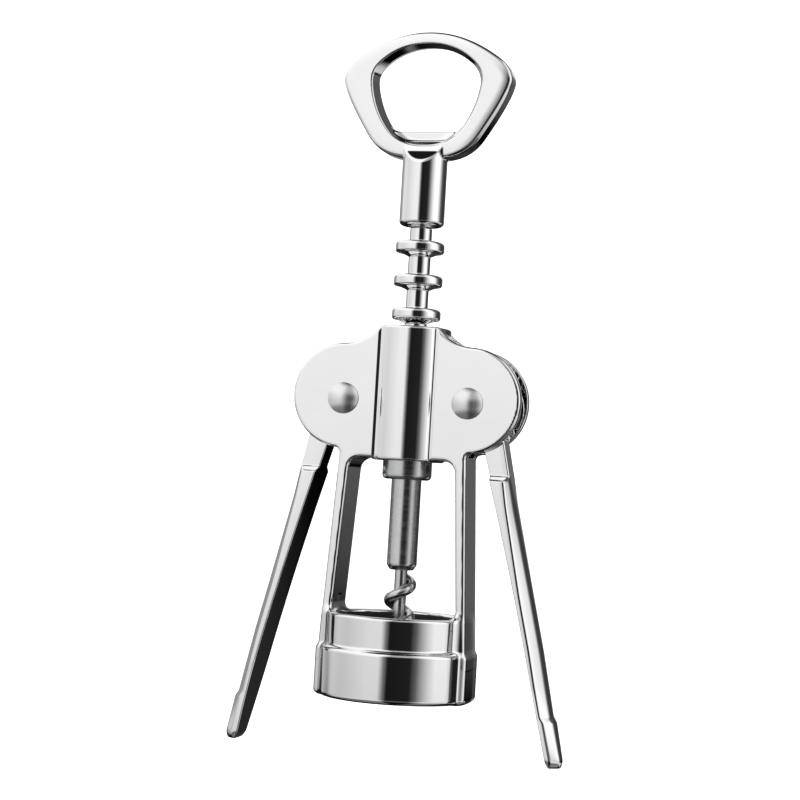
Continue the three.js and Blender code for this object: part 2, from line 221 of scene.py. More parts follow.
def field_mesh(name, field, low, high, step):
    """A closed mesh on a field's zero surface, one point per grid cell that the surface crosses."""
    axes = [np.arange(a - 1.6 * step, b + 2.6 * step, step) for a, b in zip(low, high)]
    counts = [len(a) for a in axes]
    grid = np.broadcast_to(
        field(axes[0][:, None, None], axes[1][None, :, None], axes[2][None, None, :]), counts
    ).astype(np.float32)
    inside = grid < 0

    corner_sum = np.zeros([c - 1 for c in counts], np.int8)
    for i in (0, 1):
        for j in (0, 1):
            for k in (0, 1):
                corner_sum += inside[i:counts[0] - 1 + i, j:counts[1] - 1 + j, k:counts[2] - 1 + k]
    crossed = (corner_sum > 0) & (corner_sum < 8)
    cells = np.argwhere(crossed)
    index = np.full(crossed.shape, -1, np.int64)
    index[crossed] = np.arange(len(cells))

    total = np.zeros((len(cells), 3))
    hits = np.zeros(len(cells))
    for axis in range(3):
        first, second = [a for a in range(3) if a != axis]
        for i in (0, 1):
            for j in (0, 1):
                start = cells.copy()
                start[:, first] += i
                start[:, second] += j
                stop = start.copy()
                stop[:, axis] += 1
                a = grid[tuple(start.T)]
                b = grid[tuple(stop.T)]
                hit = (a < 0) != (b < 0)
                point = np.stack([axes[n][start[:, n]] for n in range(3)], axis=1)
                point[:, axis] += step * a / np.where(hit, a - b, 1)
                total[hit] += point[hit]
                hits[hit] += 1
    points = total / hits[:, None]

    for _ in range(3):
        value = field(*points.T)
        slope = field_gradient(field, points, 0.02)
        move = slope * (value / np.maximum((slope ** 2).sum(1), 0.2))[:, None]
        points -= np.clip(move, -step / 2, step / 2)
    normals = field_gradient(field, points, 0.04)
    normals /= np.maximum(np.linalg.norm(normals, axis=1), 1e-9)[:, None]

    quads = []
    for axis in range(3):
        first, second = (axis + 1) % 3, (axis + 2) % 3
        near = [slice(None)] * 3
        far = [slice(None)] * 3
        near[axis], far[axis] = slice(0, -1), slice(1, None)
        a, b = inside[tuple(near)], inside[tuple(far)]
        edges = np.argwhere(a != b)
        edges = edges[(edges[:, first] > 0) & (edges[:, second] > 0)]
        around = []
        for i, j in ((-1, -1), (0, -1), (0, 0), (-1, 0)):
            cell = edges.copy()
            cell[:, first] += i
            cell[:, second] += j
            around.append(index[tuple(cell.T)])
        quad = np.stack(around, axis=1)
        leaves = a[tuple(edges.T)]
        quad[~leaves] = quad[~leaves][:, ::-1]
        quads.append(quad)
    return mesh_object(name, points, np.concatenate(quads), normals)


def mesh_object(name, points, faces, normals=None):
    """points in millimetres; normals, where given, shade the mesh as the true surface."""
    mesh = bpy.data.meshes.new(name)
    mesh.from_pydata((np.asarray(points) * MM).tolist(), [], [list(map(int, f)) for f in faces])
    mesh.polygons.foreach_set("use_smooth", [True] * len(mesh.polygons))
    mesh.update()
    if normals is not None:
        mesh.normals_split_custom_set_from_vertices(np.asarray(normals).tolist())
    obj = bpy.data.objects.new(name, mesh)
    bpy.context.scene.collection.objects.link(obj)
    return obj


def mirror_object(source, name):
    """The left-hand twin of a right-hand piece."""
    mesh = source.data
    points = np.array([v.co for v in mesh.vertices]) / MM * (-1, 1, 1)
    normals = np.zeros((len(mesh.vertices), 3))
    for loop, normal in zip(mesh.loops, mesh.corner_normals):
        normals[loop.vertex_index] = normal.vector
    faces = [list(p.vertices)[::-1] for p in mesh.polygons]
    return mesh_object(name, points, faces, normals * (-1, 1, 1))


def rounded_profile(corners, closed, edge_steps=6):
    """A turning profile from (radius, z, rounding) corners. A point beside each end of a straight stretch
    keeps it flat next to the rounded corner."""
    count = len(corners)
    out = []
    for i, (r, z, rounding) in enumerate(corners):
        here = Vector((r, z))
        if not closed and i in (0, count - 1):
            out.append(tuple(here))
            continue
        before = Vector(corners[i - 1][:2]) - here
        after = Vector(corners[(i + 1) % count][:2]) - here
        rounding = min(rounding, 0.49 * before.length, 0.49 * after.length)
        if rounding < 0.01:
            out.append(tuple(here))
            continue
        start, stop = here + before.normalized() * rounding, here + after.normalized() * rounding
        support = min(0.35, 0.4 * (before.length - rounding), 0.4 * (after.length - rounding))
        out.append(tuple(start + before.normalized() * support))
        weight = math.sin(before.angle(after) / 2)
        for k in range(edge_steps + 1):
            t = k / edge_steps
            a, b, c = (1 - t) ** 2, 2 * t * (1 - t) * weight, t * t
            out.append(tuple((start * a + here * b + stop * c) / (a + b + c)))
        out.append(tuple(stop + after.normalized() * support))
    return out


def turned(name, corners, closed=True, sides=96):
    """A piece turned about Z. A closed profile makes a ring, an open one starts and ends on the axis."""
    points, faces, rings = [], [], []
    for r, z in rounded_profile(corners, closed):
        if r < 1e-6:
            rings.append([len(points)])
            points.append((0, 0, z))
            continue
        rings.append(list(range(len(points), len(points) + sides)))
        for k in range(sides):
            turn = 2 * math.pi * k / sides
            points.append((r * math.cos(turn), r * math.sin(turn), z))
    following = rings[1:] + rings[:1] if closed else rings[1:]
    for low, high in zip(rings, following):
        for k in range(sides):
            n = (k + 1) % sides
            if len(low) == 1:
                faces.append((low[0], high[n], high[k]))
            elif len(high) == 1:
                faces.append((low[k], low[n], high[0]))
            else:
                faces.append((low[k], low[n], high[n], high[k]))
    return mesh_object(name, points, faces)


def stacked_faces(sections, sides):
    """The skin over a stack of sections with the same number of points, closed at both ends."""
    faces = []
    for i in range(sections - 1):
        for k in range(sides):
            n = (k + 1) % sides
            a, b = i * sides, (i + 1) * sides
            faces.append((a + k, a + n, b + n, b + k))
    faces.append(tuple(range(sides))[::-1])
    faces.append(tuple((sections - 1) * sides + k for k in range(sides)))
    return faces


# ---- materials --------------------------------------------------------------

def material(name):
    mat = bpy.data.materials.new(name)
    mat.use_nodes = True
    shader = mat.node_tree.nodes["Principled BSDF"]
    return mat, mat.node_tree, shader


def node(tree, kind, **settings):
    made = tree.nodes.new(kind)
    for key, value in settings.items():
        setattr(made, key, value)
    return made


def math_node(tree, operation, first, second):
    made = node(tree, "ShaderNodeMath", operation=operation)
    for socket, value in zip(made.inputs, (first, second)):
        if isinstance(value, (int, float)):
            socket.default_value = value
        else:
            tree.links.new(value, socket)
    return made.outputs[0]


def noise(tree, scale, detail=4.0, stretch=(1, 1, 1), roughness=0.55):
    coords = node(tree, "ShaderNodeTexCoord")
    mapping = node(tree, "ShaderNodeMapping")
    mapping.inputs["Scale"].default_value = stretch
    texture = node(tree, "ShaderNodeTexNoise")
    texture.inputs["Scale"].default_value = scale
    texture.inputs["Detail"].default_value = detail
    texture.inputs["Roughness"].default_value = roughness
    tree.links.new(coords.outputs["Object"], mapping.inputs["Vector"])
    tree.links.new(mapping.outputs["Vector"], texture.inputs["Vector"])
    return texture.outputs["Fac"]


def ramp(tree, value, low, high, dark=0.3, light=0.7):
    """value from its dark to its light stop, as a colour or a number between low and high."""
    made = node(tree, "ShaderNodeValToRGB")
    for element, position, shade in zip(made.color_ramp.elements, (dark, light), (low, high)):
        element.position = position
        element.color = (*shade, 1) if isinstance(shade, tuple) else (shade, shade, shade, 1)
    tree.links.new(value, made.inputs["Fac"])
    return made.outputs["Color"]


def bump(tree, shader, height, strength, distance):
    made = node(tree, "ShaderNodeBump")
    made.inputs["Strength"].default_value = strength
    made.inputs["Distance"].default_value = distance
    tree.links.new(height, made.inputs["Height"])
    tree.links.new(made.outputs["Normal"], shader.inputs["Normal"])


def chrome(name, tint=(0.955, 0.955, 0.957), haze=(0.015, 0.06)):
    """Polished plate: a slow waviness from the casting, faint smears, and hairline polishing marks."""
    mat, tree, shader = material(name)
    shader.inputs["Metallic"].default_value = 1.0
    smears = noise(tree, 60, 5)
    low = tuple(0.965 * c for c in tint)
    tree.links.new(ramp(tree, smears, low, tint), shader.inputs["Base Color"])
    hairs = noise(tree, 900, 2, stretch=(1, 1, 0.05))
    marks = math_node(tree, "MULTIPLY", smears, hairs)
    tree.links.new(ramp(tree, marks, haze[0], haze[1], 0.15, 0.45), shader.inputs["Roughness"])
    waves = noise(tree, 130, 1)
    bump(tree, shader, waves, 0.05, 0.0004)
    return mat


def satin_steel(name, tint=(0.72, 0.725, 0.735), haze=(0.17, 0.27)):
    """Turned steel with fine rings of tool marks round its axis."""
    mat, tree, shader = material(name)
    shader.inputs["Metallic"].default_value = 1.0
    rings = noise(tree, 700, 3, stretch=(0.04, 0.04, 1))
    spots = noise(tree, 140, 5)
    low = tuple(0.86 * c for c in tint)
    tree.links.new(ramp(tree, spots, low, tint), shader.inputs["Base Color"])
    tree.links.new(ramp(tree, rings, haze[0], haze[1]), shader.inputs["Roughness"])
    bump(tree, shader, rings, 0.03, 0.00002)
    return mat


def nylon(name, tint=(0.02, 0.02, 0.022)):
    """Moulded black plastic with a fine grain."""
    mat, tree, shader = material(name)
    grain = noise(tree, 2500, 3)
    light = tuple(1.8 * c for c in tint)
    tree.links.new(ramp(tree, grain, tint, light), shader.inputs["Base Color"])
    tree.links.new(ramp(tree, grain, 0.42, 0.6), shader.inputs["Roughness"])
    bump(tree, shader, grain, 0.3, 0.00005)
    return mat


CHROME = chrome("polished_chrome")
RIVET = chrome("rivet_chrome", (0.93, 0.932, 0.935), (0.3, 0.4))
STEEL = satin_steel("satin_steel")
NYLON = nylon("black_nylon")


def finish_piece(obj, mat, slot, body, *nodes):
    """Give a piece its material, the body it rides and the CAD nodes it stands in for."""
    obj.data.materials.clear()
    obj.data.materials.append(mat)
    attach(obj, body)
    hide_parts(*nodes)
    return obj


# ---- cast frame -------------------------------------------------------------

def circles_meet(first, first_radius, second, second_radius):
    """Where two circles meet, on the left of the way from the first to the second."""
    way = Vector(second) - Vector(first)
    distance = way.length
    way.normalize()
    along = (first_radius ** 2 - second_radius ** 2 + distance ** 2) / (2 * distance)
    aside = math.sqrt(first_radius ** 2 - along ** 2)
    return (first[0] + along * way.x - aside * way.y, first[1] + along * way.y + aside * way.x)


def plate_outline():
    """Right half of the plates and the leg. It runs on past the middle, where the field never looks."""
    past_middle = -20
    lobe = (PIVOT_X, LOBE_Z)
    top = (PLATE_TOP_HALF, PLATE_TOP)
    shoulder = circles_meet(top, SHOULDER_RADIUS, lobe, LOBE_RADIUS + SHOULDER_RADIUS)
    crotch_x = LEG_TOP_OUTER + CROTCH_RADIUS
    reach = LOBE_RADIUS + CROTCH_RADIUS
    crotch = (crotch_x, LOBE_Z - math.sqrt(reach ** 2 - (crotch_x - PIVOT_X) ** 2))
    to_shoulder = math.atan2(shoulder[1] - lobe[1], shoulder[0] - lobe[0])
    to_crotch = math.atan2(crotch[1] - lobe[1], crotch[0] - lobe[0])
    to_top = math.atan2(top[1] - shoulder[1], top[0] - shoulder[0])
    corner = (WINDOW_HALF - WINDOW_CORNER, WINDOW_TOP - WINDOW_CORNER)
    leg_foot = BELL_HEIGHT - 4
    outer_foot = LEG_TOP_OUTER + (BELL_RADIUS + 0.3 - LEG_TOP_OUTER) * (1 - leg_foot / crotch[1])
    points = [(past_middle, WINDOW_TOP)]
    points += arc(corner, WINDOW_CORNER, math.pi / 2, 0, 12)
    points += [(WINDOW_HALF + WINDOW_FLARE, COLLAR_TOP - 3), (WINDOW_HALF + WINDOW_FLARE, leg_foot)]
    points += [(outer_foot, leg_foot), (LEG_TOP_OUTER, crotch[1])]
    points += arc(crotch, CROTCH_RADIUS, math.pi, to_crotch + math.pi, 10)
    points += arc(lobe, LOBE_RADIUS, to_crotch, to_shoulder, 48)
    start = to_shoulder - math.pi
    stop = start - (start - to_top) % (2 * math.pi)
    points += arc(shoulder, SHOULDER_RADIUS, start, stop, 16)
    return points + [(past_middle, PLATE_TOP)]


PLATE_OUTLINE = plate_outline()


def bell_field(x, y, z, radius, legs):
    """Bell, the collar on it, and the two flat cheeks that the legs run into."""
    bell_middle = ((BELL_RADIUS + BELL_BORE) / 2, BELL_HEIGHT / 2)
    bell = rounded_box(radius, z, bell_middle, ((BELL_RADIUS - BELL_BORE) / 2, BELL_HEIGHT / 2), 1.2)
    collar_middle = ((COLLAR_RADIUS + COLLAR_BORE) / 2, (COLLAR_TOP + LINER_SEAT) / 2)
    collar_half = ((COLLAR_RADIUS - COLLAR_BORE) / 2, (COLLAR_TOP - LINER_SEAT) / 2)
    collar = rounded_box(radius, z, collar_middle, collar_half, 0.8)
    plan = rounded_box(x, y, (0, 0), (CHEEK_X, CHEEK_HALF), 1.6)
    cheeks = thick(plan, z - BELL_HEIGHT / 2, BELL_HEIGHT / 2, 1.4)
    lower = join(bell, cheeks, 1.0)
    return join(join(legs, collar, 2.4), lower, 0.8)


def frame_field(x, y, z):
    """The casting: plates and legs, barrel, collar and bell, less its bores, slots and pin holes."""
    side = np.abs(x)
    radius = np.sqrt(x * x + y * y)
    plates = thick(outline_distance(PLATE_OUTLINE, side, z), y, PLATE_FACE, PLATE_EDGE)
    barrel_middle = (0, (PLATE_TOP + BARREL_FOOT) / 2)
    barrel_half = (BARREL_RADIUS, (PLATE_TOP - BARREL_FOOT) / 2)
    barrel = rounded_box(radius, z, barrel_middle, barrel_half, 0.7)
    body = join(plates, barrel, 0.35)
    groove = np.sqrt((side - GROOVE_X) ** 2 + (np.abs(y) - PLATE_FACE - 0.3) ** 2) - GROOVE_RADIUS
    body = cut(body, groove, 0.35)
    body = cut(body, rounded_box(radius, z, (0, 0), (COLLAR_BORE, COLLAR_TOP + 4), 0.1), 0.2)
    body = bell_field(x, y, z, radius, body)
    body = cut(body, rounded_box(radius, z, (0, 0), (COLLAR_BORE, COLLAR_TOP + 4), 0.1), 0.4)
    body = cut(body, rounded_box(radius, z, (0, 0), (BELL_BORE, LINER_SEAT), 0.1), 0.4)
    below_barrel = np.where(z < WINDOW_TOP - 6, FAR, 0.0)
    body = cut(body, radius - BARREL_BORE + below_barrel, 0.6)
    pivot = np.sqrt((side - PIVOT_X) ** 2 + (z - PIVOT_Z) ** 2)
    beside_barrel = np.maximum(BARREL_RADIUS + 0.8 - side, WINDOW_TOP + 1.5 - z)
    slot = np.maximum(np.minimum(pivot - GEAR_TIP - 0.45, beside_barrel), np.abs(y) - SLOT)
    body = cut(body, slot, 0.4)
    return cut(body, pivot - PIN_HOLE, 0.2)


# ---- levers -----------------------------------------------------------------

def gear_outline():
    """The hub's circle and the four teeth that stand in the rack's gaps as the lever turns."""
    pitch_radius = RACK_PITCH * GEAR_TEETH_ROUND / (2 * math.pi)
    first_gap = RACK_TOP_TOOTH - (RACK_TEETH - 1.5) * RACK_PITCH
    tooth = [
        (GEAR_ROOT - 0.4, -TOOTH_ROOT_HALF - 0.5),
        (GEAR_ROOT + 0.3, -TOOTH_ROOT_HALF),
        (GEAR_TIP - 0.3, -TOOTH_TIP_HALF),
        (GEAR_TIP, -TOOTH_TIP_HALF + 0.3),
        (GEAR_TIP, TOOTH_TIP_HALF - 0.3),
        (GEAR_TIP - 0.3, TOOTH_TIP_HALF),
        (GEAR_ROOT + 0.3, TOOTH_ROOT_HALF),
        (GEAR_ROOT - 0.4, TOOTH_ROOT_HALF + 0.5),
    ]
    points = []
    for i in range(GEAR_TEETH):
        turn = math.pi - (first_gap + i * RACK_PITCH - PIVOT_Z) / pitch_radius
        for along, across in reversed(tooth):
            x = PIVOT_X + along * math.cos(turn) - across * math.sin(turn)
            z = PIVOT_Z + along * math.sin(turn) + across * math.cos(turn)
            points.append((x, z))
    last = turn - 0.3
    points += arc((PIVOT_X, PIVOT_Z), GEAR_ROOT, last, last - 3.55, 40)
    return points


GEAR_OUTLINE = gear_outline()


def hub_field(x, y, z):
    """Toothed hub round the pivot."""
    hub = thick(outline_distance(GEAR_OUTLINE, x, z), y, LEVER_ROOT_HALF, 0.25)
    pivot = np.sqrt((x - PIVOT_X) ** 2 + (z - PIVOT_Z) ** 2)
    return cut(hub, pivot - PIN_HOLE, 0.2)


OUTER_SLOPE = (LEVER_OUTER[1] - LEVER_OUTER[0]) / (LEVER_LINE_Z - LEVER_TIP_Z)


def clamped(share):
    return min(1, max(0, share))


def smooth(value, low, high):
    """From 0 at low to 1 at high, level at both."""
    share = clamped((value - low) / (high - low))
    return share * share * (3 - 2 * share)


def lever_inner_x(z):
    """The arm's inside at a height: straight in the neck, slightly bent below."""
    if z > LEVER_LINE_Z:
        return LEVER_INNER[0] - (z - LEVER_LINE_Z) * NECK_SLOPE
    share = (LEVER_LINE_Z - z) / (LEVER_LINE_Z - LEVER_TIP_Z)
    a, b, c = LEVER_INNER
    return a * (1 - share) ** 2 + 2 * b * share * (1 - share) + c * share ** 2


def lever_section(z):
    """Outline of the arm at a height, as (x, y) points: flat inside, in front and behind, with slants and a
    slight crown outside."""
    outer = LEVER_OUTER[0] + (LEVER_LINE_Z - z) * OUTER_SLOPE
    inner = lever_inner_x(z)
    step = smooth(z, LEVER_SHOULDER_Z - 1.5, LEVER_SHOULDER_Z + 0.3)
    half = LEVER_ARM_HALF + (LEVER_ROOT_HALF - LEVER_ARM_HALF) * step
    crown = LEVER_CROWN * (1 - smooth(z, LEVER_SHOULDER_Z - CROWN_START, LEVER_SHOULDER_Z))
    swell = LEVER_SWELL[0] + LEVER_SWELL[1] * clamped((LEVER_SHOULDER_Z + 2 - z) / SWELL_LENGTH)
    swell += LEVER_PAD * (1 - smooth(z, PAD_TOP - 2, PAD_TOP))
    grown = clamped((LEVER_SHOULDER_Z - z) / SLANTS_GROW)
    width, deep = (small + grown * (full - small) for small, full in LEVER_SLANTS)
    shoulder = NECK_SLANT + (width - NECK_SLANT) * (1 - step)
    depth = NECK_SLANT + (deep - NECK_SLANT) * (1 - step)
    outer += swell - shoulder - crown
    toward_tip = z - LEVER_TIP_Z
    if toward_tip < TIP_TAPER:
        half -= TIP_THINNING * (1 - toward_tip / TIP_TAPER) ** 1.6
        depth *= (half / LEVER_ARM_HALF) ** 1.5
    if toward_tip < TIP_ROUND:
        pull = 1 - math.sqrt(max(0, 1 - (1 - toward_tip / TIP_ROUND) ** 2))
        middle = (inner + outer + shoulder) / 2
        half -= 0.9 * pull
        inner += (middle - inner) * 0.5 * pull
        outer -= (middle - inner) * 0.9 * pull
        crown *= 1 - 0.4 * pull
    corners = [
        (inner, -half, 0.35),
        (outer, -half, 0.5),
        (outer + shoulder, depth - half, 1.1),
    ]
    front = [(inner, 0), (inner, 0.4 * (0.5 - half))]
    way = [(inner, 0)] + [(x, y) for x, y, _ in corners] + [(outer + shoulder + crown, 0)]
    for i, (x, y, rounding) in enumerate(corners):
        here, before, after = Vector((x, y)), Vector(way[i]), Vector(way[i + 2])
        back, on = before - here, after - here
        reach = min(rounding, 0.42 * back.length, 0.42 * on.length)
        start, stop = here + back.normalized() * reach, here + on.normalized() * reach
        for t in np.linspace(0, 1, 9):
            front.append(tuple(start * (1 - t) ** 2 + here * 2 * t * (1 - t) + stop * t * t))
    start_x, start_y = front[-1]
    top = way[-1][0]
    for share in np.linspace(0, 1, 9)[1:]:
        y = start_y * (1 - share)
        front.append((start_x + (top - start_x) * (1 - (y / start_y) ** 2), y))
    return front + [(x, -y) for x, y in front[-2:0:-1]]


def lever_arm(name):
    """The arm as sections stacked from the tip up into the slot between the plates."""
    heights = list(LEVER_TIP_Z + TIP_ROUND * (1 - np.cos(np.linspace(0, math.pi / 2, 12))))
    start = LEVER_TIP_Z + TIP_ROUND
    for stop, sections in (
        (PAD_TOP - 2, 14),
        (PAD_TOP + 0.6, 12),
        (LEVER_SHOULDER_Z - 1.6, 70),
        (LEVER_SHOULDER_Z + 0.8, 20),
        (PIVOT_Z - 5, 12),
    ):
        heights += list(np.linspace(start, stop, sections)[1:])
        start = stop
    points = []
    for z in heights:
        points += [(x, y, z) for x, y in lever_section(z)]
    return mesh_object(name, points, stacked_faces(len(heights), len(points) // len(heights)))


# ---- handle -----------------------------------------------------------------

def side_line(x, z, a, b):
    """Distance from the line through a and b, positive on its right."""
    length = math.hypot(b[0] - a[0], b[1] - a[1])
    return ((x - a[0]) * (b[1] - a[1]) - (z - a[1]) * (b[0] - a[0])) / length


def loop_outline(*points):
    """A rounded loop mirrored about the middle: arcs through every second point, from the top down."""
    right = [points[0]]
    for i in range(0, len(points) - 2, 2):
        right += bezier(points[i:i + 3], 16)[1:]
    return right + [(-x, z) for x, z in right[:0:-1]]


RING_OUTLINE = loop_outline(
    (0, 175.0), (9.3, 175.0), (18.1, 168.9), (22.9, 165.8), (22.8, 162.0), (22.2, 157.9), (15.4, 147.4),
    (11.6, 141.4), (4.0, 141.4),
)
OPENING_OUTLINE = loop_outline(
    (0, 171.8), (6.8, 171.8), (11.7, 167.8), (15.3, 165.1), (14.9, 161.5), (14.2, 154.8), (10.7, 149.8),
    (7.4, 144.8), (1.0, 144.6),
)
HOLE_OUTLINE = loop_outline(
    (0, 171.2), (6.2, 171.2), (10.8, 167.5), (14.2, 164.8), (13.65, 161.0), (12.8, 155.4), (9.6, 150.4),
    (6.5, 144.8), (1.0, 144.6),
)


def loop_field(x, y, z):
    """The ring, with an opening that narrows from its faces to its middle, and the opener's lip."""
    rim = outline_distance(RING_OUTLINE, x, z)
    edge = outline_distance(OPENING_OUTLINE, x, z)
    through = outline_distance(HOLE_OUTLINE, x, z)
    share = np.clip((RING_HALF - np.abs(y)) / RING_HALF, 0, 1)
    opening = edge + (through - edge) * share
    crown_width, crown_fall = RING_CROWN
    from_rim = np.clip(-rim / crown_width, 0, 1)
    half = RING_HALF - crown_fall * (1 - from_rim) ** 2
    ring = cut(thick(rim, y, half, 1.0), opening, 0.5)
    lip = thick(np.maximum(rim + 2, z - LIP_Z), y, LIP_HALF, 0.4)
    return join(ring, lip, 2.2)


def handle_field(x, y, z):
    """The loop on its round stem, which is bored for the top of the rack."""
    radius = np.sqrt(x * x + y * y)
    stem_half = (STEM_RADIUS, (STEM_TOP - STEM_FOOT) / 2)
    stem = rounded_box(radius, z, (0, (STEM_TOP + STEM_FOOT) / 2), stem_half, 1.1)
    stem = meet(stem, -side_line(np.abs(y), z, *STEM_SLANT), 0.4)
    bore = rounded_box(radius, z, (0, STEM_FOOT), (RACK_SHAFT + 0.3, 1.3), 0.1)
    return cut(join(loop_field(x, y, z), stem, 0.7), bore, 0.2)


# ---- turned pieces ----------------------------------------------------------

def rack_corners():
    """A sleeve with ring-shaped teeth, flat on top and flared into the shaft underneath."""
    corners = [(SPINDLE_BORE, 60.0, 0), (RACK_SHAFT, 60.0, 0.2)]
    for i in range(RACK_TEETH - 1, -1, -1):
        z = RACK_TOP_TOOTH - i * RACK_PITCH
        corners += [
            (RACK_SHAFT, z - RACK_TOOTH_HALF - 1.0, 0.3),
            (RACK_TOOTH - 1.3, z - RACK_TOOTH_HALF - 0.05, 0.3),
            (RACK_TOOTH, z - RACK_TOOTH_HALF, 1.0),
            (RACK_TOOTH, z + RACK_TOOTH_HALF, 1.0),
            (RACK_SHAFT, z + RACK_TOOTH_HALF, 0.45),
        ]
    return corners + [(RACK_SHAFT, 123.0, 0.2), (SPINDLE_BORE, 123.0, 0)]


# profiles as (radius, z, rounding) corners
BUSH_CORNERS = [
    (4.0, 56.8, 0.2), (6.5, 56.8, 1.3), (6.5, 67.6, 0.3), (3.23, 67.6, 0.1), (3.23, 59.7, 0),
    (SPINDLE_BORE, 59.7, 0), (SPINDLE_BORE, 58.6, 0), (4.0, 58.6, 0),
]
FERRULE_CORNERS = [
    (SPINDLE_BORE, 33.2, 0.1), (3.0, 33.2, 0.3), (3.95, 34.5, 0.5), (3.95, 58.2, 0.2),
    (SPINDLE_BORE, 58.2, 0),
]
LINER_CORNERS = [
    (15.4, 0.8, 0.4), (16.9, 0.8, 0.4), (16.9, 12.3, 0.2), (16.05, 12.5, 0), (16.05, 21.0, 0.2),
    (15.4, 21.0, 0.2),
]
WASHER_CORNERS = [
    (SPINDLE_BORE, 123.3, 0.1), (3.1, 123.3, 0.15), (3.1, 124.6, 0.1), (SPINDLE_BORE, 124.6, 0.1),
]
WORM_CORE_CORNERS = [
    (0, 5.5, 0), (0.5, 6.5, 0.2), (WORM_CORE, 13.0, 2.0), (WORM_CORE, 45.0, 0.1), (0, 45.0, 0),
]


def rivet(name):
    """A pin through the plates with a domed head on each end."""
    seat = PLATE_FACE + 0.15
    head, height, brim, pin = 4.1, 1.75, 0.25, 2.5
    dome = (head ** 2 + height ** 2) / (2 * height)
    top = [(head, seat, 0.1), (head, seat + brim, 0.12)]
    for k in range(1, 11):
        r = head * math.cos(k / 10 * math.pi / 2)
        z = seat + brim + (height - brim) / height * (height - dome + math.sqrt(dome ** 2 - r * r))
        top.append((r, z, 0))
    top[-1] = (0, top[-1][1], 0)
    half = [(pin, 0, 0), (pin, seat, 0)] + top
    profile = [(r, -z, e) for r, z, e in reversed(half)] + half[1:]
    obj = turned(name, profile, closed=False, sides=64)
    turn = Matrix.Rotation(math.pi / 2, 4, "X")
    obj.data.transform(Matrix.Translation((PIVOT_X * MM, 0, PIVOT_Z * MM)) @ turn)
    return obj


def worm_blade(name):
    """The right-handed blade that winds round the worm's core, growing out of it above and running out at
    the tip."""
    steps, sides = 420, 14
    start_turn = 2.95
    grow_share, close_share = 0.07, 0.22
    points = []
    for i in range(steps + 1):
        t = i / steps
        z = WORM_TOP - t * (WORM_TOP - WORM_TIP)
        turn = (z - WORM_TOP) / WORM_PITCH * 2 * math.pi + start_turn
        grow = min(1, t / grow_share)
        close = min(1, (1 - t) / close_share)
        reach = BLADE_START + BLADE_REACH * math.sqrt(grow) * math.sqrt(close)
        wide = BLADE_HALF[0] * (0.35 + 0.65 * min(grow, close))
        tall = BLADE_HALF[1] * (0.3 + 0.7 * min(grow, close))
        for k in range(sides):
            angle = 2 * math.pi * k / sides
            r = reach + wide * math.cos(angle)
            points.append((r * math.cos(turn), r * math.sin(turn), z + tall * math.sin(angle)))
    return mesh_object(name, points, stacked_faces(steps + 1, sides))


# ---- stage ------------------------------------------------------------------

def camera():
    """From the front, a little from the right and from below, and tilted so that the corkscrew leans."""
    azimuth, elevation, roll = math.radians(15.0), math.radians(-2.61), math.radians(3.37)
    distance, sideways = 0.4986, -0.00297
    aim = Vector((0, 0, 0.0776))
    back = Vector((
        math.sin(azimuth) * math.cos(elevation),
        -math.cos(azimuth) * math.cos(elevation),
        math.sin(elevation),
    ))
    right = Vector((math.cos(azimuth), math.sin(azimuth), 0))
    up = back.cross(right)
    across = right * math.cos(roll) + up * math.sin(roll)
    above = up * math.cos(roll) - right * math.sin(roll)
    data = bpy.data.cameras.new("camera")
    data.lens = 85.4
    data.sensor_width = 36
    data.clip_start = 0.01
    obj = bpy.data.objects.new("camera", data)
    place = aim + back * distance + right * sideways
    obj.matrix_world = Matrix((
        (across.x, above.x, back.x, place.x),
        (across.y, above.y, back.y, place.y),
        (across.z, above.z, back.z, place.z),
        (0, 0, 0, 1),
    ))
    bpy.context.scene.collection.objects.link(obj)
    bpy.context.scene.camera = obj


def stage_material(name, glow):
    mat, _, shader = material(name)
    for colour in ("Base Color", "Emission Color"):
        shader.inputs[colour].default_value = (0.96, 0.96, 0.96, 1)
    shader.inputs["Roughness"].default_value = 0.9
    shader.inputs["Emission Strength"].default_value = glow
    return mat


def stage():
    """A pale floor and surround. The chrome mirrors the studio's light and dark sides instead of these."""
    bpy.ops.mesh.primitive_circle_add(vertices=96, radius=6, fill_type="NGON", location=(0, 0, -0.075))
    floor = bpy.context.object
    floor.name = "floor"
    floor.data.materials.append(stage_material("pale_floor", 0.9))
    bpy.ops.mesh.primitive_cylinder_add(vertices=96, radius=5.9, depth=12, location=(0, 0, 5.9))
    surround = bpy.context.object
    surround.name = "surround"
    surround.data.materials.append(stage_material("pale_surround", 1.2))
    for obj in (floor, surround):
        obj.visible_glossy = False
        obj.visible_diffuse = False
        obj.visible_shadow = False


def light_ramp(tree, value, stops, low, high):
    """Brightness along one angle in degrees, from (angle, brightness) stops."""
    share = node(tree, "ShaderNodeMapRange")
    share.inputs["From Min"].default_value = math.radians(low)
    share.inputs["From Max"].default_value = math.radians(high)
    tree.links.new(value, share.inputs["Value"])
    made = node(tree, "ShaderNodeValToRGB")
    elements = made.color_ramp.elements
    elements.remove(elements[-1])
    for i, (degrees, level) in enumerate(stops):
        position = (degrees - low) / (high - low)
        element = elements[0] if i == 0 else elements.new(position)
        element.position = position
        element.color = (level, level, level, 1)
    tree.links.new(share.outputs[0], made.inputs["Fac"])
    return made.outputs["Color"]


# The studio's light, as (angle in degrees, brightness) stops. Azimuth is 0 in front and 90 on the right.

